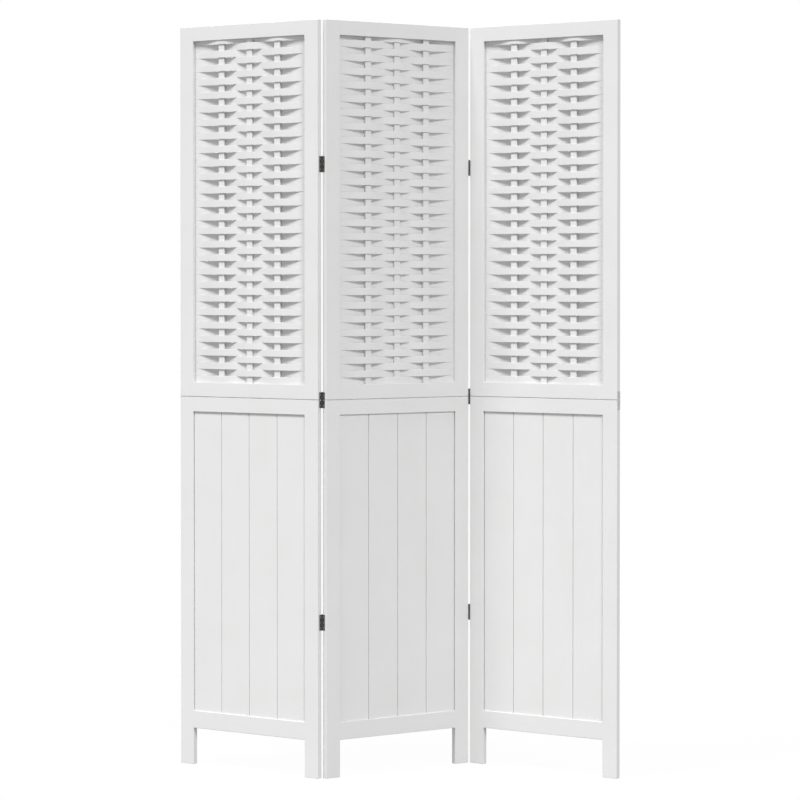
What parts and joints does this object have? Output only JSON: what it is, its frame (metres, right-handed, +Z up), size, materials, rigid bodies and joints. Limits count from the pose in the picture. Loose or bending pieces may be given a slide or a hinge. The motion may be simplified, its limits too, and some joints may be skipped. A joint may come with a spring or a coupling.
{
  "type": "folding room divider screen",
  "caption": "Folding room divider: hinged panels with a woven slat upper frame over a tongue-and-groove board lower frame, standing in a zigzag on leg stiles.",
  "frame": {"origin": "on the floor under the middle of the centre panel, which is the middle of the bounding box seen from above", "axes": "+X along the screen from left to right as seen from the front, +Y towards the back, +Z up"},
  "size_m": [1.0006, 0.2456, 1.7],
  "materials": {
    "painted_frame": "satin white paint over solid wood",
    "painted_boards": "satin white paint over tongue-and-groove boards",
    "painted_slats": "satin white paint over thin woven wooden slats",
    "dowel_wood": "bare beech",
    "hinge_metal": "dark antique bronze",
    "screw_metal": "dark antique bronze, heads a little worn",
    "plate_metal": "zinc-plated steel"
  },
  "bodies": {
    "centre_panel": {"centre_upper_left_stile": "painted_frame", "centre_upper_right_stile": "painted_frame", "centre_top_rail": "painted_frame", "centre_weave_rail": "painted_frame", "centre_lower_left_stile": "painted_frame", "centre_lower_right_stile": "painted_frame", "centre_board_rail": "painted_frame", "centre_bottom_rail": "painted_frame", "centre_stakes": "painted_slats", "centre_slats": "painted_slats", "centre_boards": "painted_boards", "centre_dowels": "dowel_wood", "centre_screws": "screw_metal", "left_fold_low_centre_leaf": "hinge_metal", "left_fold_low_pin": "hinge_metal", "left_fold_middle_centre_leaf": "hinge_metal", "left_fold_middle_pin": "hinge_metal", "left_fold_high_centre_leaf": "hinge_metal", "left_fold_high_pin": "hinge_metal", "right_fold_low_centre_leaf": "hinge_metal", "right_fold_low_pin": "hinge_metal", "right_fold_middle_centre_leaf": "hinge_metal", "right_fold_middle_pin": "hinge_metal", "right_fold_high_centre_leaf": "hinge_metal", "right_fold_high_pin": "hinge_metal"},
    "left_panel": {"left_upper_outer_stile": "painted_frame", "left_upper_hinge_stile": "painted_frame", "left_top_rail": "painted_frame", "left_weave_rail": "painted_frame", "left_lower_outer_stile": "painted_frame", "left_lower_hinge_stile": "painted_frame", "left_board_rail": "painted_frame", "left_bottom_rail": "painted_frame", "left_stakes": "painted_slats", "left_slats": "painted_slats", "left_boards": "painted_boards", "left_dowels": "dowel_wood", "left_screws": "screw_metal", "left_joining_plate": "plate_metal", "left_fold_low_leaf": "hinge_metal", "left_fold_middle_leaf": "hinge_metal", "left_fold_high_leaf": "hinge_metal"},
    "right_panel": {"right_upper_hinge_stile": "painted_frame", "right_upper_outer_stile": "painted_frame", "right_top_rail": "painted_frame", "right_weave_rail": "painted_frame", "right_lower_hinge_stile": "painted_frame", "right_lower_outer_stile": "painted_frame", "right_board_rail": "painted_frame", "right_bottom_rail": "painted_frame", "right_stakes": "painted_slats", "right_slats": "painted_slats", "right_boards": "painted_boards", "right_dowels": "dowel_wood", "right_screws": "screw_metal", "right_joining_plate": "plate_metal", "right_fold_low_leaf": "hinge_metal", "right_fold_middle_leaf": "hinge_metal", "right_fold_high_leaf": "hinge_metal"}
  },
  "joints": [
    {"name": "left_fold", "type": "hinge", "parent": "centre_panel", "child": "left_panel", "pos_m": [-0.16729, -0.11153, 0.849], "axis": [0, 0, 1], "range_deg": [-108, 72]},
    {"name": "right_fold", "type": "hinge", "parent": "centre_panel", "child": "right_panel", "pos_m": [0.16729, 0.11153, 0.849], "axis": [0, 0, 1], "range_deg": [-108, 72]}
  ]
}
